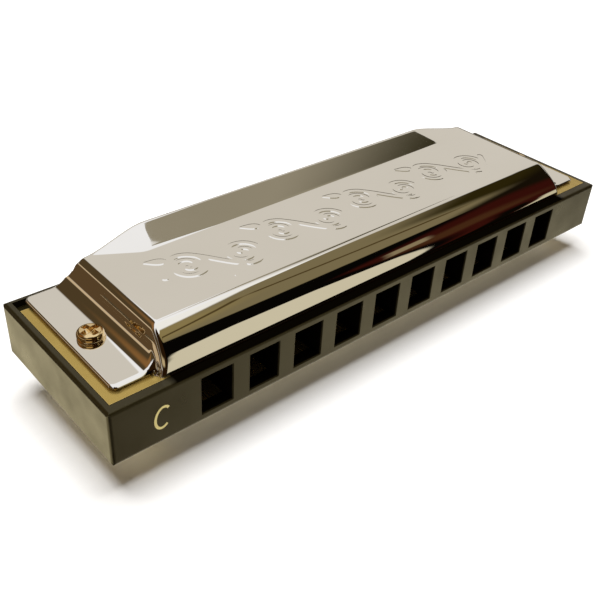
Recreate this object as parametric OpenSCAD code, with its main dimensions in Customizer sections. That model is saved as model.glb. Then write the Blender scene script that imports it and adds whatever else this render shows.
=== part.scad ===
// Ten-hole diatonic harmonica: a plastic comb with ten mouth holes, a brass reed plate let into its
// top and its underside, one riveted free reed a plate for each hole, and two pressed sheet covers
// held by a screw and a nut through each end tab.
// Millimetres. X runs along the row of holes, the mouth side faces -Y, and +Z is up. The origin is
// at the middle of the footprint, level with the lowest edge of the lower cover.

/* [Comb] */
// Length of the comb
comb_length = 97; // [92:0.5:104]
// Depth of the comb, from the mouth face to the back
comb_depth = 27; // [25:0.5:32]
// Height of the comb, rims included
comb_height = 8.2; // [7.4:0.1:10]
// Rounding along the comb's outer edges
comb_edge_radius = 0.5; // [0.2:0.1:1.2]
// Width of the rim at each end of the comb
end_rim = 1.0; // [0.8:0.1:2]
// Width of the rim along the mouth side
front_rim = 1.4; // [1:0.1:2.5]
// Width of the rim along the back
back_rim = 0.8; // [0.6:0.1:2]
// Thickness of the wall that the mouth holes are cut in
mouth_wall = 1.8; // [1.5:0.1:3]

/* [Mouth holes] */
// Number of mouth holes
hole_count = 10; // [10:1:10]
// Distance from one mouth hole to the next
hole_pitch = 7.5; // [7:0.1:8]
// Width of a mouth hole
hole_width = 4.5; // [4.1:0.1:5]
// Height of a mouth hole
hole_height = 5.5; // [4.5:0.1:6]
// Bevel round the lip of a mouth hole
hole_bevel = 0.25; // [0.1:0.05:0.4]
// How far the row of holes sits off the middle of the comb
hole_row_shift = 0.4; // [0:0.1:1]
// Width of the air chamber behind a mouth hole
chamber_width = 4.6; // [4.5:0.1:5]

/* [Reed plates] */
// Thickness of a reed plate
plate_thickness = 1.0; // [0.8:0.05:1.2]
// Gap between a reed plate and the comb's rim
plate_gap = 0.1; // [0.05:0.05:0.3]
// Side of the square notch at each back corner of a plate
plate_notch = 2.2; // [1:0.1:3]
// Radius of the hole a plate gives a cover screw
plate_screw_hole_radius = 1.2; // [1.1:0.05:1.5]

/* [Reeds] */
// Thickness of a reed
reed_thickness = 0.15; // [0.1:0.01:0.3]
// Width of a reed's tongue
tongue_width = 2.3; // [2:0.05:2.6]
// Width of a reed's riveted pad
pad_width = 2.9; // [2.6:0.1:3.4]
// Length of a reed's riveted pad
pad_length = 2.75; // [2.4:0.05:3.2]
// Distance from the mouth face to a tongue's root
root_from_mouth = 7.2; // [6.5:0.1:8.5]
// Gap between a tongue and its pad
root_gap = 0.05; // [0.03:0.01:0.1]
// Length of the longest tongue, at hole 1
longest_tongue = 16; // [14:0.5:17]
// Length of the shortest tongue, at the last hole
shortest_tongue = 10.5; // [9:0.5:12]
// How much shorter a draw tongue is than its blow tongue
draw_tongue_difference = 0.4; // [0:0.1:1]
// Gap between a tongue and the sides of its slot
slot_side_gap = 0.06; // [0.04:0.01:0.12]
// Gap between a tongue's tip and the end of its slot
slot_tip_gap = 0.08; // [0.05:0.01:0.2]
// Length of chamber left past a tongue's tip
chamber_past_tip = 1.5; // [1:0.1:2]

/* [Rivets] */
// Radius of a reed rivet's shank
rivet_radius = 0.5; // [0.4:0.05:0.6]
// Radius of a reed rivet's heads
rivet_head_radius = 0.85; // [0.7:0.05:1]
// Radius of the flat on top of a reed rivet's heads
rivet_flat_radius = 0.5; // [0.3:0.05:0.6]
// Height of a reed rivet's heads
rivet_head_height = 0.25; // [0.15:0.05:0.4]
// Gap between a rivet's shank and its hole
rivet_gap = 0.05; // [0.03:0.01:0.1]

/* [Covers] */
// Thickness of a cover's sheet
sheet_thickness = 0.6; // [0.4:0.05:0.8]
// Height of a cover's flat top above the comb's rim
cover_height = 4.8; // [4:0.1:6]
// Height of a cover's flared back edge above the comb's rim
flare_height = 6.1; // [5:0.1:7]
// Distance from the comb's end to a cover's tab
tab_from_end = 2.35; // [1.5:0.05:3.5]
// Distance from the comb's end to the foot of a cover's end wall
end_wall_foot = 8.6; // [8:0.1:12]
// Distance from the comb's end to the top of a cover's end wall
end_wall_top = 10.35; // [9:0.05:14]
// Distance from the comb's end to where the flare reaches its full height
flare_full_from_end = 19.5; // [15:0.5:25]
// Distance from the mouth face to a cover's hem
hem_from_mouth = 1.65; // [1.5:0.05:3]
// Distance from the mouth face to the crease along the front of a cover's flat top
crease_from_mouth = 6.1; // [5:0.1:9]
// Distance from the mouth face to where a cover starts to flare
flare_from_mouth = 20.1; // [18:0.1:23]
// Distance from the mouth face to a cover's back edge
cover_back = 25.6; // [24:0.1:26.5]
// Distance from the mouth face to the front edge of a cover's tab
tab_from_mouth = 3.15; // [2:0.05:4]
// Thickness of a cover's tab, its turned-down border included
tab_thickness = 0.65; // [0.5:0.05:0.9]
// Rounding of a tab's outer corners
tab_corner_radius = 1.0; // [0.5:0.1:2]

/* [Cover screws] */
// Distance from the comb's end to a cover screw
cover_screw_from_end = 5.3; // [4.5:0.1:6.5]
// Distance from the mouth face to a cover screw
cover_screw_from_mouth = 13.1; // [11:0.1:15]
// Radius of a cover screw's shank
cover_screw_radius = 1.0; // [0.8:0.05:1.2]
// Gap between a cover screw and the holes in the covers and the comb
cover_screw_gap = 0.1; // [0.05:0.05:0.3]
// Gap between a cover screw and its nut
nut_gap = 0.03; // [0.02:0.01:0.1]
// Radius of a cover screw's head
cover_screw_head_radius = 1.75; // [1.5:0.05:2]
// Height of a cover screw's head
cover_screw_head_height = 1.1; // [0.8:0.05:1.4]
// Radius of the dome on a cover screw's head
cover_screw_dome_radius = 2.6; // [2.2:0.1:4]
// Depth of the cross cut in a cover screw's head
cross_depth = 0.6; // [0.3:0.05:0.8]
// Width of the cross cut in a cover screw's head
cross_width = 0.5; // [0.3:0.05:0.7]
// Length of the cross cut in a cover screw's head
cross_length = 2.2; // [1.6:0.1:2.6]
// How far a cover screw's shank runs up inside its head
shank_into_head = 0.3; // [0.2:0.05:0.4]
// Radius of a cover nut, corner to centre
nut_radius = 2.3; // [2:0.05:2.6]
// Height of a cover nut
nut_height = 1.2; // [1:0.05:1.6]

/* [Reed plate screws] */
// Radius of a plate screw's shank
plate_screw_radius = 0.75; // [0.6:0.05:0.9]
// Radius of a plate screw's countersunk head
plate_screw_head_radius = 1.4; // [1.2:0.05:1.6]
// Height of a plate screw's countersunk head
plate_screw_head_height = 0.65; // [0.5:0.05:0.8]
// Length of a plate screw under its head
plate_screw_length = 2.4; // [2:0.1:2.8]
// Width of the cross cut in a plate screw's head
plate_cross_width = 0.3; // [0.2:0.05:0.4]
// Length of the cross cut in a plate screw's head
plate_cross_length = 1.8; // [1.2:0.1:2]
// Depth of the cross cut in a plate screw's head
plate_cross_depth = 0.3; // [0.2:0.05:0.4]
// Gap round a plate screw in the plate and the comb
plate_screw_gap = 0.04; // [0.02:0.01:0.1]
// Distance from the mouth face to the front row of plate screws
front_plate_screw = 3.6; // [3.2:0.1:4]
// Distance from the mouth face to the back row of plate screws
back_plate_screw = 22.5; // [21:0.1:23.5]

/* [Colours] */
// Comb colour
comb_colour = "#3a3524";
// Brass colour
brass_colour = "#c9a85a";
// Chrome colour
chrome_colour = "#c8c6c2";
// Steel colour
steel_colour = "#a8a296";

/* [Hidden] */
// Sides used to draw a full circle
$fn = 64;
// Overshoot that lets a cutter clear the surface it cuts
over = 1;
// Levels: underside of the comb's lower rim and top of its upper rim
rim_bottom = flare_height;
rim_top = flare_height + comb_height;
// Middle of the comb's height
comb_middle = flare_height + comb_height / 2;
// Plan positions of the comb's left end and mouth face
left_end = -comb_length / 2;
mouth_face = -comb_depth / 2;
// Height of the comb between the two reed plates
core_height = comb_height - 2 * plate_thickness;
// Distance from the mouth face to a reed's rivet, in the middle of its pad
rivet_from_mouth = root_from_mouth - root_gap - pad_length / 2;
// Columns of walls between chambers that carry a plate screw, and each screw's row
plate_screw_walls = [[1, front_plate_screw], [9, front_plate_screw],
                     [1, back_plate_screw], [5, back_plate_screw], [9, back_plate_screw]];
// Points of a cover's front slope, from the hem to the crease, as fractions of its run and rise
slope_shape = [[0, 0], [0.045, 0.17], [0.17, 0.36], [0.37, 0.6], [0.66, 0.82], [1, 1]];

// X of hole number n, counted from 1
function hole_x(n) = hole_row_shift + (n - (hole_count + 1) / 2) * hole_pitch;
// X of the wall between hole n and the next one
function wall_x(n) = hole_x(n) + hole_pitch / 2;
// Length of the blow tongue at hole n
function blow_length(n) =
    longest_tongue - (longest_tongue - shortest_tongue) * (n - 1) / (hole_count - 1);
// Length of the draw tongue at hole n
function draw_length(n) = blow_length(n) - draw_tongue_difference;

// Rectangle with rounded corners, centred
module rounded_rectangle(width, height, radius) {
    square([width - 2 * radius, height], center = true);
    square([width, height - 2 * radius], center = true);
    for (x = [-1, 1], y = [-1, 1])
        translate([x * (width / 2 - radius), y * (height / 2 - radius)])
            circle(r = radius);
}

// Block with every edge rounded, centred
module rounded_block(width, depth, height, radius) {
    intersection() {
        linear_extrude(height, center = true)
            rounded_rectangle(width, depth, radius);
        rotate([90, 0, 0])
            linear_extrude(depth, center = true)
                rounded_rectangle(width, height, radius);
        rotate([90, 0, 90])
            linear_extrude(width, center = true)
                rounded_rectangle(depth, height, radius);
    }
}

// Everything that follows is drawn for the upper side; this turns it over for the lower side
module lower_side() {
    translate([0, 0, 2 * comb_middle])
        mirror([0, 0, 1])
            children();
}

// Puts a child at both cover screw positions
module at_cover_screws() {
    for (side = [-1, 1])
        translate([side * (comb_length / 2 - cover_screw_from_end),
                   mouth_face + cover_screw_from_mouth, 0])
            children();
}

// Puts a child at every reed plate screw position
module at_plate_screws() {
    for (place = plate_screw_walls)
        translate([wall_x(place[0]), mouth_face + place[1], 0])
            children();
}

// Cutter for the bevelled lip of a mouth hole, widening towards the mouth face
module lip_cutter() {
    half_width = hole_width / 2;
    half_height = hole_height / 2;
    intersection() {
        linear_extrude(comb_height, center = true)
            polygon([[-half_width - hole_bevel, 0], [half_width + hole_bevel, 0],
                     [half_width, hole_bevel], [-half_width, hole_bevel]]);
        rotate([90, 0, 90])
            linear_extrude(hole_pitch, center = true)
                polygon([[0, -half_height - hole_bevel], [0, half_height + hole_bevel],
                         [hole_bevel, half_height], [hole_bevel, -half_height]]);
    }
}

module comb() {
    pocket_depth = comb_depth - front_rim - back_rim;
    color(comb_colour)
        difference() {
            translate([0, 0, comb_middle])
                rounded_block(comb_length, comb_depth, comb_height, comb_edge_radius);
            // Pockets that the two reed plates lie in
            for (level = [rim_bottom - over, rim_top - plate_thickness])
                translate([left_end + end_rim, mouth_face + front_rim, level])
                    cube([comb_length - 2 * end_rim, pocket_depth, plate_thickness + over]);
            for (n = [1:hole_count]) {
                chamber_end = root_from_mouth + blow_length(n) + chamber_past_tip;
                // Mouth hole and the bevel round its lip
                translate([hole_x(n) - hole_width / 2, mouth_face - over,
                           comb_middle - hole_height / 2])
                    cube([hole_width, mouth_wall + 2 * over, hole_height]);
                translate([hole_x(n), mouth_face, comb_middle])
                    lip_cutter();
                // Air chamber, open to both reed plates
                translate([hole_x(n) - chamber_width / 2, mouth_face + mouth_wall, rim_bottom - over])
                    cube([chamber_width, chamber_end - mouth_wall, comb_height + 2 * over]);
            }
            at_cover_screws()
                translate([0, 0, rim_bottom - over])
                    cylinder(r = cover_screw_radius + cover_screw_gap, h = comb_height + 2 * over);
            // Pilot holes for the plate screws, from above and from below
            at_plate_screws() {
                pilot_depth = plate_thickness + plate_screw_length;
                translate([0, 0, rim_top - pilot_depth])
                    cylinder(r = plate_screw_radius + plate_screw_gap, h = pilot_depth + over);
                translate([0, 0, rim_bottom - over])
                    cylinder(r = plate_screw_radius + plate_screw_gap, h = pilot_depth + over);
            }
        }
}

// A reed plate lying in the upper pocket, with slots for tongues of the given lengths
module reed_plate(lengths) {
    plate_length = comb_length - 2 * end_rim - 2 * plate_gap;
    plate_depth = comb_depth - front_rim - back_rim - 2 * plate_gap;
    plate_back = mouth_face + front_rim + plate_gap + plate_depth;
    base = rim_top - plate_thickness;
    color(brass_colour)
        difference() {
            translate([-plate_length / 2, mouth_face + front_rim + plate_gap, base])
                cube([plate_length, plate_depth, plate_thickness]);
            // Notches at the two back corners
            for (side = [-1, 1])
                translate([side * plate_length / 2 - plate_notch, plate_back - plate_notch, base - over])
                    cube([2 * plate_notch, 2 * plate_notch, plate_thickness + 2 * over]);
            for (n = [1:hole_count]) {
                slot_width = tongue_width + 2 * slot_side_gap;
                slot_length = lengths[n - 1] + root_gap + slot_tip_gap;
                translate([hole_x(n) - slot_width / 2, mouth_face + root_from_mouth - root_gap,
                           base - over])
                    cube([slot_width, slot_length, plate_thickness + 2 * over]);
                translate([hole_x(n), mouth_face + rivet_from_mouth, base - over])
                    cylinder(r = rivet_radius + rivet_gap, h = plate_thickness + 2 * over);
            }
            at_cover_screws()
                translate([0, 0, base - over])
                    cylinder(r = plate_screw_hole_radius, h = plate_thickness + 2 * over);
            at_plate_screws()
                translate([0, 0, rim_top])
                    countersink(plate_screw_gap, plate_thickness + over);
        }
}

// Countersunk screw shape with its flat top at zero, grown by a gap and running down to a depth
module countersink(gap, depth) {
    rotate_extrude()
        polygon([[0, 0], [plate_screw_head_radius + gap, 0],
                 [plate_screw_radius + gap, -plate_screw_head_height],
                 [plate_screw_radius + gap, -depth], [0, -depth]]);
}

// The riveted pads of ten reeds lying on a plate face at the given level
module reed_pads(level) {
    color(brass_colour)
        for (n = [1:hole_count])
            translate([hole_x(n), mouth_face + rivet_from_mouth, level])
                difference() {
                    translate([-pad_width / 2, -pad_length / 2, 0])
                        cube([pad_width, pad_length, reed_thickness]);
                    translate([0, 0, -over])
                        cylinder(r = rivet_radius + rivet_gap, h = reed_thickness + 2 * over);
                }
}

// Ten rivets through a plate and the pads under it, headed at both ends
module reed_rivets() {
    lower_head = -plate_thickness - reed_thickness;
    color(brass_colour)
        for (n = [1:hole_count])
            translate([hole_x(n), mouth_face + rivet_from_mouth, rim_top])
                rotate_extrude()
                    polygon([[0, rivet_head_height],
                             [rivet_flat_radius, rivet_head_height],
                             [rivet_head_radius, 0],
                             [rivet_radius, 0],
                             [rivet_radius, lower_head],
                             [rivet_head_radius, lower_head],
                             [rivet_flat_radius, lower_head - rivet_head_height],
                             [0, lower_head - rivet_head_height]]);
}

// One free tongue of the given length at hole n, lying at the given level
module tongue(n, length, level) {
    color(brass_colour)
        translate([hole_x(n) - tongue_width / 2, mouth_face + root_from_mouth, level])
            cube([tongue_width, length, reed_thickness]);
}

// Side outline of a cover's body, moved back and down by an inset, with its foot at a level
module cover_side_outline(inset, foot) {
    run = crease_from_mouth - hem_from_mouth;
    slope = [for (point = slope_shape)
             [hem_from_mouth + inset + point[0] * run, point[1] * cover_height - inset]];
    top = [[flare_from_mouth + inset, cover_height - inset],
           [cover_back + 2 * inset, flare_height - inset + inset * (flare_height - cover_height)
            / (cover_back - flare_from_mouth)]];
    back = [[cover_back + 2 * inset, foot], [hem_from_mouth + inset, foot]];
    polygon(concat(slope, top, back));
}

// End-on outline of a cover's body, drawn in and down by an inset, with its foot at a level
module cover_end_outline(inset, foot) {
    half = comb_length / 2;
    foot_half = half - end_wall_foot - inset;
    top_half = half - end_wall_top - inset;
    flare_half = half - flare_full_from_end;
    polygon([[-foot_half, foot], [-foot_half, 0], [-top_half, cover_height - inset],
             [-flare_half, flare_height - inset], [flare_half, flare_height - inset],
             [top_half, cover_height - inset], [foot_half, 0], [foot_half, foot]]);
}

// Solid block under a cover's skin, inset to make the hollow
module cover_block(inset, foot) {
    intersection() {
        rotate([90, 0, 90])
            linear_extrude(comb_length, center = true)
                cover_side_outline(inset, foot);
        translate([0, comb_depth + over, 0])
            rotate([90, 0, 0])
                linear_extrude(comb_depth + 2 * over)
                    cover_end_outline(inset, foot);
    }
}

module cover() {
    tab_length = end_wall_foot - tab_from_end + sheet_thickness;
    tab_depth = cover_back - tab_from_mouth;
    color(chrome_colour)
        difference() {
            union() {
                translate([0, mouth_face, rim_top])
                    difference() {
                        cover_block(0, 0);
                        cover_block(sheet_thickness, -over);
                    }
                for (side = [-1, 1])
                    translate([side * (comb_length / 2 - tab_from_end - tab_length / 2),
                               mouth_face + tab_from_mouth + tab_depth / 2, rim_top])
                        linear_extrude(tab_thickness) {
                            rounded_rectangle(tab_length, tab_depth, tab_corner_radius);
                            translate([-side * tab_length / 4, 0])
                                square([tab_length / 2, tab_depth], center = true);
                        }
            }
            at_cover_screws()
                translate([0, 0, rim_top - over])
                    cylinder(r = cover_screw_radius + cover_screw_gap, h = tab_thickness + 2 * over);
        }
}

module upper_cover() cover();
module lower_cover() lower_side() cover();

module blow_reed_plate() reed_plate([for (n = [1:hole_count]) blow_length(n)]);
module draw_reed_plate() lower_side() reed_plate([for (n = [1:hole_count]) draw_length(n)]);

// Blow reeds hang under the upper plate, inside the chambers
module blow_reed_pads() reed_pads(rim_top - plate_thickness - reed_thickness);
module blow_reed_rivets() reed_rivets();
module blow_reed(n) tongue(n, blow_length(n), rim_top - plate_thickness - reed_thickness);

// Draw reeds hang under the lower plate, outside the chambers
module draw_reed_pads() reed_pads(rim_bottom - reed_thickness);
module draw_reed_rivets() {
    translate([0, 0, -core_height - plate_thickness])
        reed_rivets();
}
module draw_reed(n) tongue(n, draw_length(n), rim_bottom - reed_thickness);

// Five countersunk screws that hold a reed plate to the comb
module plate_screws() {
    color(steel_colour)
        at_plate_screws()
            translate([0, 0, rim_top])
                difference() {
                    countersink(0, plate_thickness + plate_screw_length - plate_screw_gap);
                    for (turn = [0, 90])
                        rotate([0, 0, turn])
                            cube([plate_cross_length, plate_cross_width, 2 * plate_cross_depth],
                                 center = true);
                }
}

module blow_plate_screws() plate_screws();
module draw_plate_screws() lower_side() plate_screws();

module cover_screws() {
    head_base = rim_top + tab_thickness;
    shank_length = comb_height + 2 * tab_thickness + nut_height;
    color(steel_colour)
        at_cover_screws()
            translate([0, 0, head_base]) {
                translate([0, 0, -shank_length])
                    cylinder(r = cover_screw_radius, h = shank_length + shank_into_head);
                difference() {
                    intersection() {
                        cylinder(r = cover_screw_head_radius, h = cover_screw_head_height);
                        translate([0, 0, cover_screw_head_height - cover_screw_dome_radius])
                            sphere(r = cover_screw_dome_radius);
                    }
                    for (turn = [0, 90])
                        rotate([0, 0, turn])
                            translate([-cross_length / 2, -cross_width / 2,
                                       cover_screw_head_height - cross_depth])
                                cube([cross_length, cross_width, cross_depth + over]);
                }
            }
}

module cover_nuts() {
    color(steel_colour)
        at_cover_screws()
            translate([0, 0, rim_bottom - tab_thickness - nut_height])
                difference() {
                    cylinder(r = nut_radius, h = nut_height, $fn = 6);
                    translate([0, 0, -over])
                        cylinder(r = cover_screw_radius + nut_gap, h = nut_height + 2 * over);
                }
}

comb();
upper_cover();
lower_cover();
blow_reed_plate();
draw_reed_plate();
blow_reed_pads();
draw_reed_pads();
blow_reed_rivets();
draw_reed_rivets();
blow_plate_screws();
draw_plate_screws();
cover_screws();
cover_nuts();
blow_reed(1);  // blow_reed_1
blow_reed(2);  // blow_reed_2
blow_reed(3);  // blow_reed_3
blow_reed(4);  // blow_reed_4
blow_reed(5);  // blow_reed_5
blow_reed(6);  // blow_reed_6
blow_reed(7);  // blow_reed_7
blow_reed(8);  // blow_reed_8
blow_reed(9);  // blow_reed_9
blow_reed(10);  // blow_reed_10
draw_reed(1);  // draw_reed_1
draw_reed(2);  // draw_reed_2
draw_reed(3);  // draw_reed_3
draw_reed(4);  // draw_reed_4
draw_reed(5);  // draw_reed_5
draw_reed(6);  // draw_reed_6
draw_reed(7);  // draw_reed_7
draw_reed(8);  // draw_reed_8
draw_reed(9);  // draw_reed_9
draw_reed(10);  // draw_reed_10
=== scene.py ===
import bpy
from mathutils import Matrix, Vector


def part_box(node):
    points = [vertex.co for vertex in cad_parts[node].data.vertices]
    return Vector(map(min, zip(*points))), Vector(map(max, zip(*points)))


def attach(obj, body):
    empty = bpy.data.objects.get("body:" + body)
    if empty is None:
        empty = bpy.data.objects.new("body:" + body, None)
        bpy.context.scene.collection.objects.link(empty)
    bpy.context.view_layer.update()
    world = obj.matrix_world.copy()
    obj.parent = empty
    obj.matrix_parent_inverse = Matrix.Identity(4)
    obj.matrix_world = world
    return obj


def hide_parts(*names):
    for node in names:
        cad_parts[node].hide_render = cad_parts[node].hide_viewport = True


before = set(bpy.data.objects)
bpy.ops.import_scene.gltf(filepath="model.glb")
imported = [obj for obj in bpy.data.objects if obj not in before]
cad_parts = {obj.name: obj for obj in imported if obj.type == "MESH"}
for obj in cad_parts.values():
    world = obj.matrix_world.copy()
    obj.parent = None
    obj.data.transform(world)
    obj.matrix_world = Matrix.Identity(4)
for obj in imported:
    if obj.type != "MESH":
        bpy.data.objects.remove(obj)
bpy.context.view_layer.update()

import math

import bpy
import numpy as np
from mathutils import Matrix, Vector
from mathutils.kdtree import KDTree

# ---------------------------------------------------------------------------------------------
# Sizes. Lengths are in millimetres; points are measured from the comb's left end (x), from its
# mouth face towards the back (y) and up from its upper rim (z), and place() turns them into the
# frame's metres.
# ---------------------------------------------------------------------------------------------

METRE = 0.001
COMB_LOW, COMB_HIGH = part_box("comb")
COVER_LOW, COVER_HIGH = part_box("upper_cover")
SCREW_LOW, SCREW_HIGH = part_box("cover_screws")
BODY = "harmonica_body"
HOLE_COUNT = 10

LENGTH = (COMB_HIGH.x - COMB_LOW.x) / METRE
COMB_HEIGHT = (COMB_HIGH.z - COMB_LOW.z) / METRE

# Covers
SHEET = 0.5
TAB_FROM_END = (COVER_LOW.x - COMB_LOW.x) / METRE
HEM = (COVER_LOW.y - COMB_LOW.y) / METRE
COVER_BACK = (COVER_HIGH.y - COMB_LOW.y) / METRE
FLARE_TOP = (COVER_HIGH.z - COMB_HIGH.z) / METRE
ROOF = 4.8
CREASE = 6.1
SLOPE_POWER = 0.53
WALL_FOOT = 8.2
WALL_RUN = 1.6
WALL_ANGLE = math.atan(ROOF / WALL_RUN)
SHOULDER_RADIUS = 1.5
CORNER_RADIUS = 0.7
FLARE_START = 20.1
TAB_FRONT = 2.9
TAB_TOP = 0.65
TAB_CORNER = 1.0
# How far a tab's border is rolled down, and how wide the roll is at its end and at its front
TAB_ROLL = 0.25
TAB_ROLL_END = 0.28
TAB_ROLL_FRONT = 0.7
# Rounding of a cover's back edge
BACK_ROLL = 0.2
BACK_ROLL_WIDTH = 0.45
# Where painted shade falls on the parts under the front of a cover
SEAM_SHADE_START = 8.5
SEAM_SHADE_END = 88.5
# Hollow fillet between a tab and the end wall
FILLET_RADIUS = 3.0
FILLET_START = (WALL_FOOT + TAB_TOP * WALL_RUN / ROOF
                - FILLET_RADIUS * math.tan(WALL_ANGLE / 2))
# Plan corners of the flat facet that closes each end of the flare
FACET_START = (11.0, 24.0)
FACET_INNER = (18.0, FLARE_START)
FACET_FULL = (19.8, COVER_BACK)

# Cover screws
NUT_HEIGHT = 1.2
CROWN_STEPS = 40
SCREW_FROM_END = 5.3
SCREW_FROM_MOUTH = 13.1
SCREW_HEAD_RADIUS = (SCREW_HIGH.y - SCREW_LOW.y) / METRE / 2
SCREW_HEAD_HEIGHT = 1.1
SCREW_SHANK_RADIUS = 1.0

# Camera: its place, angles and lens make the object's edges fall where they were measured
EYE = (-30.56, -63.09, 64.96)
AZIMUTH = math.radians(42.906)
ELEVATION = math.radians(35.263)
ROLL = math.radians(3.731)
LENS = 49.67
SENSOR = 36.0


def place(x, y, z):
    """The frame's point, in metres, for a point in millimetres from left end, mouth face and rim."""
    return Vector((COMB_LOW.x + x * METRE, COMB_LOW.y + y * METRE, COMB_HIGH.z + z * METRE))


# ---------------------------------------------------------------------------------------------
# Material tools
# ---------------------------------------------------------------------------------------------

def new_material(name):
    """An empty node material: its node tree, its Principled shader and an object-space position."""
    material = bpy.data.materials.new(name)
    material.use_nodes = True
    nodes = material.node_tree.nodes
    shader = nodes["Principled BSDF"]
    position = nodes.new("ShaderNodeTexCoord").outputs["Object"]
    return material, shader, position


def math_node(nodes, links, operation, first, second=None, third=None):
    """The value of one math node, fed with sockets or numbers."""
    node = nodes.new("ShaderNodeMath")
    node.operation = operation
    for socket, value in zip(node.inputs, (first, second, third)):
        if isinstance(value, bpy.types.NodeSocket):
            links.new(value, socket)
        elif value is not None:
            socket.default_value = value
    return node.outputs["Value"]


def add_noise(material, position, scale, detail=4.0, stretch=(1, 1, 1)):
    """A noise value from 0 to 1; scale is in cycles a metre and stretch squeezes each axis."""
    nodes = material.node_tree.nodes
    links = material.node_tree.links
    mapping = nodes.new("ShaderNodeMapping")
    mapping.inputs["Scale"].default_value = stretch
    links.new(position, mapping.inputs["Vector"])
    noise = nodes.new("ShaderNodeTexNoise")
    noise.inputs["Scale"].default_value = scale
    noise.inputs["Detail"].default_value = detail
    links.new(mapping.outputs["Vector"], noise.inputs["Vector"])
    return noise.outputs["Fac"]


def add_range(material, value, low, high, out_low, out_high):
    """Maps low..high of a value to out_low..out_high."""
    node = material.node_tree.nodes.new("ShaderNodeMapRange")
    node.inputs["From Min"].default_value = low
    node.inputs["From Max"].default_value = high
    node.inputs["To Min"].default_value = out_low
    node.inputs["To Max"].default_value = out_high
    material.node_tree.links.new(value, node.inputs["Value"])
    return node.outputs["Result"]


def add_mix(material, factor, first, second):
    """Colour between two colours (or a colour and a socket) by a factor socket."""
    node = material.node_tree.nodes.new("ShaderNodeMix")
    node.data_type = "RGBA"
    material.node_tree.links.new(factor, node.inputs["Factor"])
    for socket, colour in ((node.inputs[6], first), (node.inputs[7], second)):
        if isinstance(colour, bpy.types.NodeSocket):
            material.node_tree.links.new(colour, socket)
        else:
            socket.default_value = (*colour, 1)
    return node.outputs[2]


def add_bump(material, shader, value, distance, strength=1.0, normal=None):
    """Bump from a height value, distance in metres."""
    node = material.node_tree.nodes.new("ShaderNodeBump")
    node.inputs["Strength"].default_value = strength
    node.inputs["Distance"].default_value = distance
    material.node_tree.links.new(value, node.inputs["Height"])
    if normal is not None:
        material.node_tree.links.new(normal, node.inputs["Normal"])
    material.node_tree.links.new(node.outputs["Normal"], shader.inputs["Normal"])
    return node.outputs["Normal"]


def add_span(material, position, axis, low, high, softness):
    """1 where one coordinate lies between low and high, in metres, fading to 0 outside."""
    nodes = material.node_tree.nodes
    links = material.node_tree.links
    split = nodes.new("ShaderNodeSeparateXYZ")
    links.new(position, split.inputs["Vector"])
    rise = add_range(material, split.outputs[axis], low, low + softness, 0.0, 1.0)
    fall = add_range(material, split.outputs[axis], high - softness, high, 1.0, 0.0)
    return math_node(nodes, links, "MULTIPLY", rise, fall)


def add_painted_seam_shade(material, shader, position, front, back, unshaded_colour, shade_colour):
    """Paints shade into a colour along the mouth side, between the cover's ends, under the cover's
    front, and takes the gloss away there.
    """
    nodes = material.node_tree.nodes
    links = material.node_tree.links
    left, right = place(SEAM_SHADE_START, 0, 0).x, place(SEAM_SHADE_END, 0, 0).x
    near, far = place(0, front, 0).y, place(0, back, 0).y
    unshaded_gloss = 0.5
    # Painted shade: 1 inside the band under the cover's front, where the colour goes to the shade
    # colour and the gloss to nothing
    along = add_span(material, position, "X", left, right, METRE)
    across = add_span(material, position, "Y", near, far, 0.1 * METRE)
    shaded = math_node(nodes, links, "MULTIPLY", along, across)
    gloss = math_node(nodes, links, "MULTIPLY_ADD", shaded, -unshaded_gloss, unshaded_gloss)
    links.new(gloss, shader.inputs["Specular IOR Level"])
    return add_mix(material, shaded, unshaded_colour, shade_colour)


def add_edge_wear(material, radius):
    """1 on worn outside edges and 0 on flat faces, from how a rounded normal differs."""
    nodes = material.node_tree.nodes
    links = material.node_tree.links
    bevel = nodes.new("ShaderNodeBevel")
    bevel.samples = 4
    bevel.inputs["Radius"].default_value = radius
    geometry = nodes.new("ShaderNodeNewGeometry")
    product = nodes.new("ShaderNodeVectorMath")
    product.operation = "DOT_PRODUCT"
    links.new(bevel.outputs["Normal"], product.inputs[0])
    links.new(geometry.outputs["Normal"], product.inputs[1])
    return add_range(material, product.outputs["Value"], 1.0, 0.8, 0.0, 1.0)


# ---------------------------------------------------------------------------------------------
# Materials
# ---------------------------------------------------------------------------------------------

def chrome_material():
    """Polished plated sheet with hairline scratches, faint handling haze and slight waviness."""
    material, shader, position = new_material("chrome_cover")
    links = material.node_tree.links
    haze = add_noise(material, position, 90, 5)
    scratches = add_noise(material, position, 1500, 3, (0.06, 1, 1))
    tint = add_mix(material, haze, (0.86, 0.84, 0.80), (0.92, 0.90, 0.87))
    links.new(tint, shader.inputs["Base Color"])
    shader.inputs["Metallic"].default_value = 1.0
    roughness = add_range(material, haze, 0.3, 0.7, 0.012, 0.035)
    links.new(roughness, shader.inputs["Roughness"])
    waviness = add_noise(material, position, 160, 2)
    normal = add_bump(material, shader, waviness, 0.00001, 0.4)
    add_bump(material, shader, scratches, 0.000001, 0.3, normal)
    return material


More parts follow.
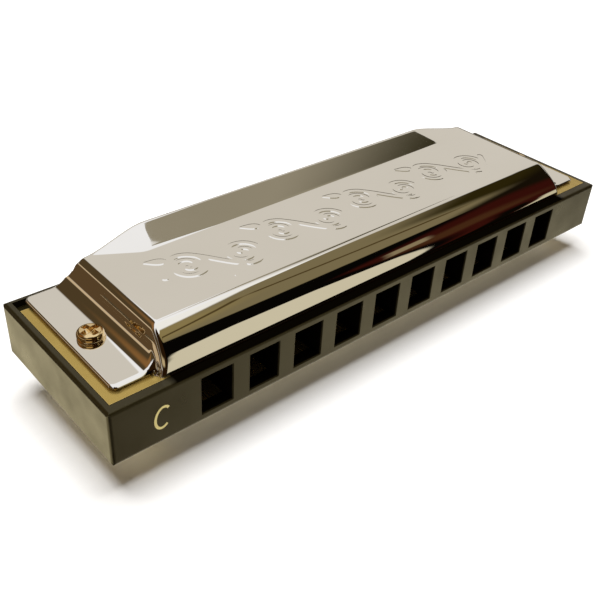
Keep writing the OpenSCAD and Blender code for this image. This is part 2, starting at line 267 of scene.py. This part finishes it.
def comb_material():
    """Moulded dark olive-brown plastic, satin, with a fine grain, paler rubbed edges and painted
    shade on its top under the front of the cover.
    """
    material, shader, position = new_material("comb_plastic")
    links = material.node_tree.links
    mottle = add_noise(material, position, 220, 6)
    grain = add_noise(material, position, 5200, 3)
    body = add_mix(material, mottle, (0.009, 0.007, 0.002), (0.016, 0.012, 0.004))
    worn = add_mix(material, add_edge_wear(material, 0.00012), body, (0.04, 0.034, 0.017))
    # Painted shade: a near-black band with no gloss on the rim and top under the cover's front
    colour = add_painted_seam_shade(material, shader, position, 0.1, 20, worn, (0.0015, 0.001, 0.0004))
    links.new(colour, shader.inputs["Base Color"])
    roughness = add_range(material, mottle, 0.3, 0.7, 0.26, 0.4)
    links.new(roughness, shader.inputs["Roughness"])
    shader.inputs["Specular Tint"].default_value = (1, 0.89, 0.56, 1)
    add_bump(material, shader, grain, 0.000012, 0.35)
    return material


def brass_material(name, grain_stretch, roughness, shaded_seam=False):
    """Rolled brass with a drawn grain, tarnish mottling and brighter edges; on request, painted
    shade under the front of the cover.
    """
    material, shader, position = new_material(name)
    links = material.node_tree.links
    tarnish = add_noise(material, position, 260, 6)
    grain = add_noise(material, position, 2600, 4, grain_stretch)
    colour = add_mix(material, tarnish, (0.41, 0.285, 0.07), (0.54, 0.39, 0.115))
    colour = add_mix(material, add_edge_wear(material, 0.0001), colour, (0.85, 0.66, 0.28))
    # Painted shade: the front strip under the cover goes near black and loses its gloss
    if shaded_seam:
        colour = add_painted_seam_shade(material, shader, position, -1, 2.2, colour, (0.012, 0.004, 0.001))
    links.new(colour, shader.inputs["Base Color"])
    shader.inputs["Metallic"].default_value = 0.8
    rough = add_range(material, grain, 0.3, 0.7, roughness, roughness + 0.12)
    links.new(rough, shader.inputs["Roughness"])
    add_bump(material, shader, grain, 0.000003, 0.3)
    return material


def steel_material(name, colour, roughness):
    """Turned and plated steel with fine ring scratches and small stains."""
    material, shader, position = new_material(name)
    links = material.node_tree.links
    stain = add_noise(material, position, 900, 5)
    scratches = add_noise(material, position, 6000, 3, (1, 1, 0.15))
    darker = tuple(channel * 0.8 for channel in colour)
    links.new(add_mix(material, stain, darker, colour), shader.inputs["Base Color"])
    shader.inputs["Metallic"].default_value = 1.0
    rough = add_range(material, stain, 0.3, 0.7, roughness, roughness + 0.1)
    links.new(rough, shader.inputs["Roughness"])
    add_bump(material, shader, scratches, 0.000004, 0.4)
    return material


def key_mark_material():
    """Gold-coloured foil, slightly broken up."""
    material, shader, position = new_material("key_mark_foil")
    links = material.node_tree.links
    flecks = add_noise(material, position, 4000, 4)
    links.new(add_mix(material, flecks, (0.75, 0.62, 0.22), (0.95, 0.86, 0.45)),
              shader.inputs["Base Color"])
    shader.inputs["Metallic"].default_value = 0.4
    links.new(add_range(material, flecks, 0.3, 0.7, 0.3, 0.5), shader.inputs["Roughness"])
    return material


def floor_material():
    """White paper with a trace of tooth."""
    material, shader, position = new_material("floor_paper")
    links = material.node_tree.links
    tooth = add_noise(material, position, 900, 4)
    links.new(add_mix(material, tooth, (0.93, 0.925, 0.92), (0.96, 0.955, 0.95)),
              shader.inputs["Base Color"])
    shader.inputs["Roughness"].default_value = 0.9
    shader.inputs["Specular IOR Level"].default_value = 0.1
    add_bump(material, shader, tooth, 0.00002, 0.2)
    return material


# ---------------------------------------------------------------------------------------------
# Mesh tools
# ---------------------------------------------------------------------------------------------

def add_piece(name, points, faces, material, body=BODY):
    """A smooth-shaded mesh piece in the row frame, riding on a body."""
    mesh = bpy.data.meshes.new(name)
    mesh.from_pydata([tuple(point) for point in points], [], faces)
    mesh.validate()
    mesh.materials.append(material)
    mesh.shade_smooth()
    mesh.set_sharp_from_angle(angle=math.radians(38))
    piece = bpy.data.objects.new(name, mesh)
    bpy.context.scene.collection.objects.link(piece)
    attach(piece, body)
    return piece


def grid_faces(columns, rows, first=0, flipped=False):
    """Quads joining a grid of points that is numbered column by column."""
    faces = []
    for i in range(columns - 1):
        for j in range(rows - 1):
            corner = first + i * rows + j
            face = (corner, corner + rows, corner + rows + 1, corner + 1)
            faces.append(face[::-1] if flipped else face)
    return faces


def smooth_min(a, b, width):
    """The smaller of two heights, rounded where they meet."""
    near = np.maximum(width - np.abs(a - b), 0) / width
    return np.minimum(a, b) - near * near * width / 4


def smooth_max(a, b, width):
    """The larger of two heights, rounded where they meet."""
    return -smooth_min(-a, -b, width)


def smooth_step(value, low, high):
    """0 below low, 1 above high and an S curve between."""
    t = np.clip((value - low) / (high - low), 0, 1)
    return t * t * (3 - 2 * t)


# ---------------------------------------------------------------------------------------------
# Covers
# ---------------------------------------------------------------------------------------------

def cover_front_edge(end):
    """Distance from the mouth face to a cover's front outline, by distance from the comb's end."""
    corner = np.clip((TAB_FROM_END + TAB_CORNER - end) / TAB_CORNER, 0, 1)
    tab = TAB_FRONT + TAB_CORNER * (1 - np.sqrt(1 - corner**2))
    arc_centre = WALL_FOOT + CORNER_RADIUS
    reach = np.clip((arc_centre - end) / CORNER_RADIUS, 0, 1)
    body = HEM + CORNER_RADIUS * (1 - np.sqrt(1 - reach**2))
    fillet = smooth_step(end, WALL_FOOT - 0.5, WALL_FOOT)
    before = tab + (HEM + CORNER_RADIUS - tab) * fillet
    return np.where(end < WALL_FOOT, before, body)


def cover_back_edge(end):
    """Distance from the mouth face to a cover's back outline, by distance from the comb's end."""
    corner = np.clip((TAB_FROM_END + TAB_CORNER - end) / TAB_CORNER, 0, 1)
    tab = COVER_BACK - TAB_CORNER * (1 - np.sqrt(1 - corner**2))
    inwards = smooth_step(end, WALL_FOOT - 0.3, WALL_FOOT + WALL_RUN + 0.3)
    outwards = smooth_step(end, WALL_FOOT + WALL_RUN, FACET_FULL[0] + 1.5)
    waist = COVER_BACK - FACET_START[1] + 0.15
    return tab - waist * (inwards - outwards)


def body_level(end, depth):
    """Height of a cover's walls: the end wall and the front slope, meeting in a rounded corner."""
    low = np.zeros_like(end)
    high = np.full_like(end, 2 * ROOF)
    halvings = 26
    for _ in range(halvings):
        level = (low + high) / 2
        share = level / ROOF
        from_wall = end - WALL_FOOT - share * WALL_RUN
        from_slope = depth - HEM - share ** (1 / SLOPE_POWER) * (CREASE - HEM)
        radius = CORNER_RADIUS
        off_wall = np.maximum(radius - from_wall, 0)
        off_slope = np.maximum(radius - from_slope, 0)
        inside = np.hypot(off_wall, off_slope) < radius
        low = np.where(inside, level, low)
        high = np.where(inside, high, level)
    return low


def roof_level(end, depth):
    """Height of a cover's flat top, its flare and the facets that close the flare's ends."""
    rise = FLARE_TOP - ROOF
    flare = (depth - FLARE_START) * rise / (COVER_BACK - FLARE_START)
    along = np.array([FACET_INNER[0] - FACET_START[0], FACET_INNER[1] - FACET_START[1], 0.0])
    across = np.array([FACET_FULL[0] - FACET_START[0], FACET_FULL[1] - FACET_START[1], rise])
    normal = np.cross(along, across)
    facet = -(normal[0] * (end - FACET_START[0]) + normal[1] * (depth - FACET_START[1])) / normal[2]
    return ROOF + smooth_max(smooth_min(flare, facet, 0.12), 0 * end, 0.16)


def tab_level(end, depth):
    """Height of a cover's end tab: its border is rolled down and its inner side sweeps up."""
    sideways = np.maximum(TAB_FROM_END + TAB_CORNER - end, 0)
    forwards = np.maximum(TAB_FRONT + TAB_CORNER - depth, 0)
    backwards = np.maximum(depth - COVER_BACK + TAB_CORNER, 0)
    reach = np.hypot(sideways, np.maximum(forwards, backwards))
    edge = TAB_CORNER - reach
    frontness = forwards / np.maximum(reach, 0.001)
    width = TAB_ROLL_END + (TAB_ROLL_FRONT - TAB_ROLL_END) * frontness
    roll = TAB_ROLL * np.clip(1 - edge / width, 0, 1) ** 2
    along = np.clip(end - FILLET_START, 0, FILLET_RADIUS * math.sin(WALL_ANGLE))
    sweep = FILLET_RADIUS - np.sqrt(FILLET_RADIUS**2 - along**2)
    fall = np.clip(1 - (depth - TAB_FRONT) / (TAB_ROLL_FRONT + sweep), 0, 1) ** 2
    return np.where(edge < -0.01, -1.0, TAB_TOP + sweep * (1 - fall) - roll)


def shoulder_drop(end):
    """How far the rounded shoulder between the flat top and the end wall lies below the top."""
    flat_from = WALL_FOOT + WALL_RUN + SHOULDER_RADIUS * math.tan(WALL_ANGLE / 2)
    arc_run = SHOULDER_RADIUS * math.sin(WALL_ANGLE)
    short = np.maximum(flat_from - end, 0)
    on_arc = np.minimum(short, arc_run)
    drop = SHOULDER_RADIUS - np.sqrt(SHOULDER_RADIUS**2 - on_arc**2)
    return drop + (short - on_arc) * math.tan(WALL_ANGLE)


def cover_level(x, depth):
    """Height of a cover's outer surface above the rim it sits on."""
    end = np.minimum(x, LENGTH - x)
    from_back = np.clip(1 - (cover_back_edge(end) - depth) / BACK_ROLL_WIDTH, 0, 1)
    back_roll = BACK_ROLL * (1 - np.sqrt(1 - from_back**2))
    roof = roof_level(end, depth) - back_roll - shoulder_drop(end)
    body = smooth_min(body_level(end, depth), roof, 0.15)
    return np.maximum(smooth_max(body, tab_level(end, depth), 0.2), 0.05)


def vine_points():
    """Centre line and half width of the raised scroll: a waving stem, curls and leaf buds."""
    start, waves, wave = 16.5, 4, 15.9
    middle, swing = 13.2, 3.6
    stem_steps, stem_half_width = 1500, 0.36
    curl_steps, curl_radius, curl_turn, curl_eye = 240, 2.9, math.radians(600), 0.3
    curl_half_width, curl_taper = 0.34, 0.1
    leaf_steps, leaf_from_crest, leaf_from_stem = 50, 1.6, 0.3
    leaf_run, leaf_rise = 2.6, 1.3
    leaf_tip_half_width, leaf_belly = 0.12, 0.5
    points = []
    for step in range(stem_steps):
        turn = step / (stem_steps - 1) * waves
        points.append((start + wave * turn, middle + swing * math.sin(2 * math.pi * turn),
                       stem_half_width))
    for half in range(2 * waves):
        side = 1 if half % 2 == 0 else -1
        crest = start + wave * (half + 0.5) / 2
        hub = middle + side * (swing - curl_radius)
        for step in range(curl_steps):
            turn = step / (curl_steps - 1)
            radius = curl_radius * (1 - turn) ** 0.75 + curl_eye * turn
            angle = curl_turn * turn
            points.append((crest + radius * math.sin(angle),
                           hub + side * radius * math.cos(angle),
                           curl_half_width - curl_taper * turn))
        for step in range(leaf_steps):
            turn = step / (leaf_steps - 1)
            belly = leaf_belly * math.sin(math.pi * turn ** 0.7)
            points.append((crest - leaf_from_crest - leaf_run * turn,
                           middle + side * (swing - leaf_from_stem + leaf_rise * turn),
                           leaf_tip_half_width + belly))
    return points


def scroll_relief(x, depth):
    """Raised height of the scroll pattern at each point of the upper cover."""
    height, edge = 0.06, 0.22
    points = vine_points()
    tree = KDTree(len(points))
    for index, (px, py, _) in enumerate(points):
        tree.insert((px, py, 0), index)
    tree.balance()
    relief = np.zeros_like(x)
    margin, front, back = 12, CREASE + 0.5, FLARE_START - 0.3
    flat = (x > margin) & (x < LENGTH - margin) & (depth > front) & (depth < back)
    for i, j in zip(*np.nonzero(flat)):
        _, index, distance = tree.find((x[i, j], depth[i, j], 0))
        half_width = points[index][2]
        relief[i, j] = 1 - smooth_step(distance, half_width, half_width + edge)
    return relief * height


def cover_columns(fine):
    """Distances from the left end for the columns of a cover's grid."""
    first = TAB_FROM_END
    half = LENGTH / 2
    edge = first + TAB_CORNER * np.linspace(0, 1, 18) ** 1.5
    tab = np.arange(first + TAB_CORNER + 0.35, WALL_FOOT - 0.7, 0.35)
    wall = np.arange(WALL_FOOT - 0.6, WALL_FOOT + WALL_RUN + CORNER_RADIUS + 0.6, 0.06)
    roof = np.linspace(wall[-1] + 0.15, half, int((half - wall[-1]) / fine))
    left = np.concatenate([edge, tab, wall, roof])
    return np.concatenate([left, LENGTH - left[-2::-1]])


def build_cover(name, node, material, relief, turned_over):
    """A pressed cover as one closed shell of sheet metal."""
    column_width = 0.14 if relief else 0.6
    roof_row_count = 120 if relief else 50
    slope_row_count, slope_share = 40, 0.3
    columns = cover_columns(column_width)
    slope_rows = slope_share * np.linspace(0, 1, slope_row_count) ** 2
    roof_rows = np.linspace(slope_share, 1, roof_row_count)[1:]
    shares = np.concatenate([slope_rows, roof_rows])
    end = np.minimum(columns, LENGTH - columns)
    front = cover_front_edge(end)
    back = cover_back_edge(end)
    x = np.repeat(columns[:, None], len(shares), axis=1)
    depth = front[:, None] + (back - front)[:, None] * shares[None, :]
    level = cover_level(x, depth)
    step = 0.01
    slope_x = (cover_level(x + step, depth) - cover_level(x - step, depth)) / (2 * step)
    slope_y = (cover_level(x, depth + step) - cover_level(x, depth - step)) / (2 * step)
    size = np.sqrt(slope_x**2 + slope_y**2 + 1)
    inner = (x + SHEET * slope_x / size, depth + SHEET * slope_y / size,
             np.maximum(level - SHEET / size, 0.02))
    outer_level = level + scroll_relief(x, depth) if relief else level
    points = []
    for px, py, pz in ((x, depth, outer_level), inner):
        for spot in zip(px.ravel(), py.ravel(), pz.ravel()):
            height = -COMB_HEIGHT - spot[2] if turned_over else spot[2]
            points.append(place(spot[0], spot[1], height))
    count, rows = x.shape
    layer = count * rows
    faces = grid_faces(count, rows) + grid_faces(count, rows, layer, True)
    rim = [i * rows for i in range(count)]
    rim += [(count - 1) * rows + j for j in range(1, rows)]
    rim += [i * rows + rows - 1 for i in range(count - 2, -1, -1)]
    rim += [j for j in range(rows - 2, 0, -1)]
    for here, there in zip(rim, rim[1:] + rim[:1]):
        faces.append((here, here + layer, there + layer, there))
    if turned_over:
        faces = [face[::-1] for face in faces]
    piece = add_piece(name, points, faces, material)
    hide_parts(node)
    return piece


# ---------------------------------------------------------------------------------------------
# Cover screws
# ---------------------------------------------------------------------------------------------

def cross_recess(x, y):
    """Depth of the tapered cross recess in a screw head."""
    deepest, half_width, half_length = 0.85, 0.36, 1.25
    depth = 0.0
    for along, across in ((abs(x), abs(y)), (abs(y), abs(x))):
        side = 1 - smooth_step(across, half_width - 0.05, half_width + 0.06)
        tip = 1 - smooth_step(along, half_length - 0.16, half_length)
        floor = deepest * (1 - 0.5 * along / half_length)
        depth = max(depth, floor * side * tip)
    return depth


def screw_profile():
    """Radius and height of a cover screw's outline, from the middle of its head to its tip."""
    shoulder, shoulder_steps = 0.55, 12
    foot, foot_steps, foot_turn = 0.3, 8, 75
    crown = 0.05
    shank_top = 0.005
    tip_chamfer = 0.2
    top = SCREW_HEAD_RADIUS - shoulder
    profile = [(top * i / CROWN_STEPS, SCREW_HEAD_HEIGHT - crown * (i / CROWN_STEPS) ** 2)
               for i in range(CROWN_STEPS + 1)]
    drop = SCREW_HEAD_HEIGHT - crown
    for i in range(1, shoulder_steps + 1):
        angle = math.radians(90 * i / shoulder_steps)
        profile.append((top + shoulder * math.sin(angle),
                        drop - shoulder * (1 - math.cos(angle))))
    profile.append((SCREW_HEAD_RADIUS, foot))
    for i in range(1, foot_steps + 1):
        angle = math.radians(foot_turn * i / foot_steps)
        profile.append((SCREW_HEAD_RADIUS - foot * (1 - math.cos(angle)),
                        foot - foot * math.sin(angle)))
    tip = -(2 * TAB_TOP + COMB_HEIGHT + NUT_HEIGHT)
    profile.append((SCREW_SHANK_RADIUS, shank_top))
    profile.append((SCREW_SHANK_RADIUS, tip + tip_chamfer))
    profile.append((SCREW_SHANK_RADIUS - tip_chamfer, tip))
    return profile


def build_cover_screws(material):
    """Both cover screws: a domed pan head with a cross recess, and a chamfered shank."""
    profile = screw_profile()
    segments = 144
    points = []
    faces = []
    left_screw = (SCREW_FROM_END, 12)
    right_screw = (LENGTH - SCREW_FROM_END, 38)
    for centre_x, turn in (left_screw, right_screw):
        first = len(points)
        cosine, sine = math.cos(math.radians(turn)), math.sin(math.radians(turn))
        for k in range(segments):
            angle = 2 * math.pi * k / segments
            for index, (radius, height) in enumerate(profile):
                dx, dy = radius * math.cos(angle), radius * math.sin(angle)
                if index <= CROWN_STEPS:
                    height -= cross_recess(dx * cosine + dy * sine, dy * cosine - dx * sine)
                points.append(place(centre_x + dx, SCREW_FROM_MOUTH + dy, TAB_TOP + height))
        rows = len(profile)
        for k in range(segments):
            here, there = first + k * rows, first + (k + 1) % segments * rows
            for j in range(rows - 1):
                faces.append((here + j, here + j + 1, there + j + 1, there + j))
        faces.append(tuple(first + k * rows + rows - 1 for k in range(segments))[::-1])
    piece = add_piece("cover_screw_pair", points, faces, material)
    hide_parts("cover_screws")
    return piece


# ---------------------------------------------------------------------------------------------
# Key mark
# ---------------------------------------------------------------------------------------------

def build_key_mark(material):
    """The generic note letter beside the first mouth hole: an open oval stroke of foil."""
    centre_x, centre_z = 7.1, -4.2
    half_width, half_height, stroke = 1.05, 1.58, 0.36
    lean = 0.12
    opening, sweep = 48, 264
    let_in, proud = 0.005, 0.015
    points = []
    steps = 40
    for i in range(steps + 1):
        angle = math.radians(opening + sweep * i / steps)
        for reach in (-stroke / 2, stroke / 2):
            across = (half_width + reach) * math.cos(angle)
            up = (half_height + reach) * math.sin(angle)
            for depth in (-proud, let_in):
                points.append(place(centre_x + across + lean * up, depth, centre_z + up))
    faces = []
    ring = (0, 1, 3, 2)
    for i in range(steps):
        for a, b in zip(ring, ring[1:] + ring[:1]):
            faces.append((4 * i + a, 4 * i + b, 4 * i + 4 + b, 4 * i + 4 + a))
    faces.append(ring[::-1])
    faces.append(tuple(4 * steps + a for a in ring))
    return add_piece("key_mark", points, faces, material)


# ---------------------------------------------------------------------------------------------
# CAD nodes that stay
# ---------------------------------------------------------------------------------------------

def dress_node(name, material, edge):
    """Gives a CAD node its material and, where edge is set, a small rounding on its sharp edges."""
    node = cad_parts[name]
    node.data.materials.clear()
    node.data.materials.append(material)
    if edge:
        rounding = node.modifiers.new("edge_rounding", "BEVEL")
        rounding.width = edge * METRE
        rounding.segments = 2
        rounding.limit_method = "ANGLE"
        rounding.angle_limit = math.radians(40)


def dress_nodes():
    """Materials for every CAD node that is shown."""
    # The reed plates take painted shade along their front strip under the cover
    plate = brass_material("plate_brass", (1, 0.08, 1), 0.2, True)
    reed = brass_material("reed_brass", (1, 0.05, 1), 0.24)
    screw = steel_material("plate_screw_steel", (0.62, 0.6, 0.56), 0.22)
    nut = steel_material("nut_steel", (0.66, 0.63, 0.58), 0.2)
    dress_node("comb", comb_material(), 0)
    dress_node("blow_reed_plate", plate, 0.05)
    dress_node("draw_reed_plate", plate, 0.05)
    dress_node("cover_nuts", nut, 0.12)
    for side in ("blow", "draw"):
        dress_node(side + "_reed_pads", reed, 0.03)
        dress_node(side + "_reed_rivets", reed, 0.04)
        dress_node(side + "_plate_screws", screw, 0.04)
        for hole in range(1, HOLE_COUNT + 1):
            dress_node(f"{side}_reed_{hole}", reed, 0.02)


# ---------------------------------------------------------------------------------------------
# Studio
# ---------------------------------------------------------------------------------------------

def build_floor():
    """A pale floor that the lower cover's crease and back edge both rest on."""
    front = place(0, CREASE, -COMB_HEIGHT - ROOF)
    back = place(0, COVER_BACK, -COMB_HEIGHT - FLARE_TOP)
    slope = (back.z - front.z) / (back.y - front.y)
    radius = 0.2
    sides = 64
    gap = 0.00002
    points = []
    for k in range(sides):
        x = radius * math.cos(2 * math.pi * k / sides)
        y = radius * math.sin(2 * math.pi * k / sides)
        points.append((x, y, front.z + slope * (y - front.y) - gap))
    mesh = bpy.data.meshes.new("floor")
    mesh.from_pydata(points, [], [tuple(range(sides))])
    mesh.materials.append(floor_material())
    floor = bpy.data.objects.new("floor", mesh)
    bpy.context.scene.collection.objects.link(floor)
    floor.visible_glossy = False


def build_camera():
    """The camera, placed from the comb's corner."""
    data = bpy.data.cameras.new("camera")
    data.lens = LENS
    data.sensor_width = SENSOR
    data.clip_start = 0.005
    data.clip_end = 20
    camera = bpy.data.objects.new("camera", data)
    bpy.context.scene.collection.objects.link(camera)
    forward = Vector((math.sin(AZIMUTH) * math.cos(ELEVATION),
                      math.cos(AZIMUTH) * math.cos(ELEVATION), -math.sin(ELEVATION)))
    level = Vector((math.cos(AZIMUTH), -math.sin(AZIMUTH), 0))
    upward = level.cross(forward)
    right = level * math.cos(ROLL) + upward * math.sin(ROLL)
    up = upward * math.cos(ROLL) - level * math.sin(ROLL)
    turn = Matrix((right, up, -forward)).transposed().to_4x4()
    camera.matrix_world = Matrix.Translation(place(*EYE)) @ turn
    bpy.context.scene.camera = camera


def add_area_light(name, place_at, aim_at, size, power, colour):
    """A soft rectangular light that lights the scene but isn't mirrored in the metal."""
    data = bpy.data.lights.new(name, "AREA")
    data.shape = "RECTANGLE"
    data.size, data.size_y = size
    data.energy = power
    data.color = colour
    light = bpy.data.objects.new(name, data)
    light.location = place_at
    light.rotation_euler = (Vector(aim_at) - Vector(place_at)).to_track_quat("-Z", "Y").to_euler()
    light.visible_glossy = False
    bpy.context.scene.collection.objects.link(light)


# The room's own tone as gloss mirrors it, the light on matt surfaces and what the camera sees behind
ROOM_TONE = (0.66, 0.62, 0.55, 1)
MATT_LIGHT = (0.15, 0.13, 0.105, 1)
BACKDROP = (1.2, 1.2, 1.2, 1)

# What the metal mirrors, painted over one another in this order. Each patch has a colour and the
# edges that bound it: (a, b, limit, softness) keeps the side where a * azimuth + b * elevation is
# over limit, in degrees. Azimuth 0 is behind the object (+Y), 90 to its right and 180 in front.
# The edges and tones are set so that the covers mirror, from the camera, what is seen in them.
STUDIO = (
    ("overhead", (0.93, 0.93, 0.94), ((0, 1, 57, 4),)),
    ("left_ceiling", (0.075, 0.048, 0.02),
     ((-1, 0, -7, 4), (1, 0, -115, 10), (0, 1, 14, 3), (0, -1, -62, 6))),
    ("left_lamp_glow", (0.24, 0.115, 0.035),
     ((-0.45, 1, 50, 4), (-1, 0, 14, 6), (1, 0, -60, 4), (0, -1, -62, 6))),
    ("left_window", (0.6, 0.45, 0.27),
     ((-1, 0, 36, 2), (1, 0, -60, 4), (0, 1, 9, 1.5), (0, -1, -16, 1.5))),
    ("left_wall", (0.1, 0.058, 0.024), ((-1, 0, 5, 10), (1, 0, -115, 10), (0, -1, -9, 1.5))),
    ("left_ground", (1.7, 1.5, 0.95), ((-1, 0, 5, 10), (1, 0, -115, 10), (0, -1, 28, 5))),
    ("back_horizon", (0.07, 0.055, 0.035),
     ((1, 0, -8, 4), (-1, 0, -95, 8), (0, 1, -8, 4), (0, -1, -15, 2))),
    ("back_white", (0.93, 0.93, 0.94),
     ((1, 0, 5, 3), (-1, 0, -46, 1), (0, 1, 43.5, 1.2), (0, -1, -80, 8))),
    ("back_card", (0.3, 0.265, 0.19),
     ((1, 0, 44.5, 0.1), (-1, 0.52, -46.28, 0.1), (0.3, 1, 56.91, 0.1), (0, 1, 37.35, 0.15),
      (-0.087, -1, -56.48, 0.06), (1, -2.89, -105.9, 0.3))),
    ("back_card_far_end", (0.03, 0.025, 0.01),
     ((1, 0, 61, 6), (-1, 0.52, -46.28, 0.1), (0.3, 1, 56.91, 0.1), (0, 1, 37.35, 0.15),
      (0, -1, -52, 3))),
    ("front_ceiling", (0.2, 0.16, 0.08), ((1, 0, 99, 2), (0, 1, 10, 3), (0, -1, -70, 4))),
    ("front_ceiling_left", (0.26, 0.2, 0.08),
     ((1, 0, 120, 5), (0, 1, 53.5, 3), (0, -1, -70, 4))),
    ("front_ceiling_right", (0.024, 0.017, 0.003),
     ((1, 0, 97, 2), (-1, 0, -110, 2.5), (0, -1, -44.5, 4))),
    ("beam_upright", (0.07, 0.045, 0.014),
     ((1, -0.44, 93.9, 0.4), (-1, 0.44, -95.4, 0.4), (0, 1, 39, 2), (0, -1, -54.5, 0.8))),
    ("beam_level", (0.07, 0.045, 0.014),
     ((-0.085, 1, 44.5, 0.35), (0.085, -1, -45.6, 0.35), (1, 0, 119, 1))),
    ("front_white", (0.93, 0.92, 0.88), ((-0.31, 1, 22.4, 0.7), (1, 0, 94, 4), (-1, 0, -158, 6))),
    ("front_dark", (0.002, 0.0015, 0.001),
     ((0.82, -1, 61.3, 0.8), (1, 0, 104, 3), (0, -1, -80, 5))),
    ("front_left_dark", (0.02, 0.008, 0.002), ((-1, 0, 112, 8), (0, -1, -80, 5))),
    ("front_left_lamp", (0.5, 0.38, 0.2),
     ((-1, 0, 112, 8), (1, 0, -160, 6), (0, 1, 24, 5), (0, -1, -42, 5))),
    ("front_corner_dark", (0.02, 0.008, 0.002), ((1, 0, 163, 2), (0, -1, -80, 5))),
    ("right_dark", (0.008, 0.005, 0.002), ((1, 0, 97, 3), (-1, 0, -118, 2), (0, -1, -36, 2))),
    ("red_curtain", (0.035, 0.005, 0.003),
     ((1, 0, 116.5, 3), (-1, 0, -134.5, 1.5), (0, -1, -33, 2.5))),
    ("curtain_fold", (0.06, 0.022, 0.008),
     ((1, 0, 126, 3), (-1, 0, -134.5, 1.5), (0, 1, 12, 4), (0, -1, -25, 3))),
    ("curtain_gap", (0.003, 0.002, 0.001),
     ((1, 0, 129.3, 0.5), (-1, 0, -131.8, 0.8), (0, -1, -6, 4))),
    ("small_lamp", (0.26, 0.2, 0.11),
     ((1.77, 1, 255.9, 1.2), (-1.77, -1, -262.6, 1.2), (1, -1.77, 75.4, 2), (-1, 1.77, -90.2, 2))),
    ("right_lamp", (0.6, 0.54, 0.36), ((1, 0, 122.5, 2), (-1, 0, -128.6, 0.4), (0, -1, -1, 2))),
    ("front_panel", (0.64, 0.58, 0.42),
     ((1, 0, 136.7, 0.4), (-4, -1, -638.5, 2), (-2, -1, -334, 1), (3.9, -1, 515.6, 1),
      (1.1, -1, 124.9, 0.6), (0, -1, -34, 0.6))),
    ("front_ground", (1.45, 1.33, 0.95), ((1, 0, 95, 8), (-1, 0, -160, 20), (0, -1, 25, 4))),
    ("front_left_ground", (0.34, 0.29, 0.19), ((1, 0, 138, 14), (0, -1, 30, 5))),
    ("front_far_ground", (0.34, 0.29, 0.19), ((-1, 0, 160, 12), (0, -1, 30, 5))),
)


def build_world():
    """Dim even light for matt surfaces, a white backdrop, and a studio for gloss to mirror."""
    world = bpy.data.worlds.new("studio")
    bpy.context.scene.world = world
    world.use_nodes = True
    nodes = world.node_tree.nodes
    links = world.node_tree.links
    background = nodes["Background"]
    split = nodes.new("ShaderNodeSeparateXYZ")
    links.new(nodes.new("ShaderNodeTexCoord").outputs["Generated"], split.inputs["Vector"])
    around = math_node(nodes, links, "ARCTAN2", split.outputs["X"], split.outputs["Y"])
    azimuth = math_node(nodes, links, "DEGREES", around)
    rise = math_node(nodes, links, "ARCSINE", split.outputs["Z"])
    elevation = math_node(nodes, links, "DEGREES", rise)
    colour = None
    for name, tone, edges in STUDIO:
        mask = 1.0
        for a, b, limit, softness in edges:
            across = math_node(nodes, links, "MULTIPLY", azimuth, a)
            across = math_node(nodes, links, "MULTIPLY_ADD", elevation, b, across)
            edge = nodes.new("ShaderNodeMapRange")
            edge.interpolation_type = "SMOOTHSTEP"
            edge.inputs["From Min"].default_value = limit - softness
            edge.inputs["From Max"].default_value = limit + softness
            links.new(across, edge.inputs["Value"])
            mask = math_node(nodes, links, "MULTIPLY", edge.outputs["Result"], mask)
        mix = nodes.new("ShaderNodeMix")
        mix.name = name
        mix.data_type = "RGBA"
        links.new(mask, mix.inputs["Factor"])
        if colour is None:
            mix.inputs[6].default_value = ROOM_TONE
        else:
            links.new(colour, mix.inputs[6])
        mix.inputs[7].default_value = (*tone, 1)
        colour = mix.outputs[2]
    path = nodes.new("ShaderNodeLightPath")
    choice = nodes.new("ShaderNodeMix")
    choice.data_type = "RGBA"
    choice.inputs[6].default_value = MATT_LIGHT
    links.new(path.outputs["Is Glossy Ray"], choice.inputs["Factor"])
    links.new(colour, choice.inputs[7])
    backdrop = nodes.new("ShaderNodeMix")
    backdrop.data_type = "RGBA"
    backdrop.inputs[7].default_value = BACKDROP
    links.new(path.outputs["Is Camera Ray"], backdrop.inputs["Factor"])
    links.new(choice.outputs[2], backdrop.inputs[6])
    links.new(backdrop.outputs[2], background.inputs["Color"])


def build_studio():
    """Camera, floor, world and lights."""
    build_camera()
    build_floor()
    build_world()
    add_area_light("back_softbox", (-0.005, 0.09, 0.6), (0, 0, 0), (0.46, 0.46), 5.6, (1, 1, 1))
    scene = bpy.context.scene
    scene.view_settings.view_transform = "Standard"


# ---------------------------------------------------------------------------------------------
# The object
# ---------------------------------------------------------------------------------------------

chrome = chrome_material()
dress_nodes()
build_cover("upper_cover_shell", "upper_cover", chrome, True, False)
build_cover("lower_cover_shell", "lower_cover", chrome, False, True)
build_cover_screws(steel_material("cover_screw_metal", (0.92, 0.7, 0.38), 0.08))
build_key_mark(key_mark_material())
build_studio()
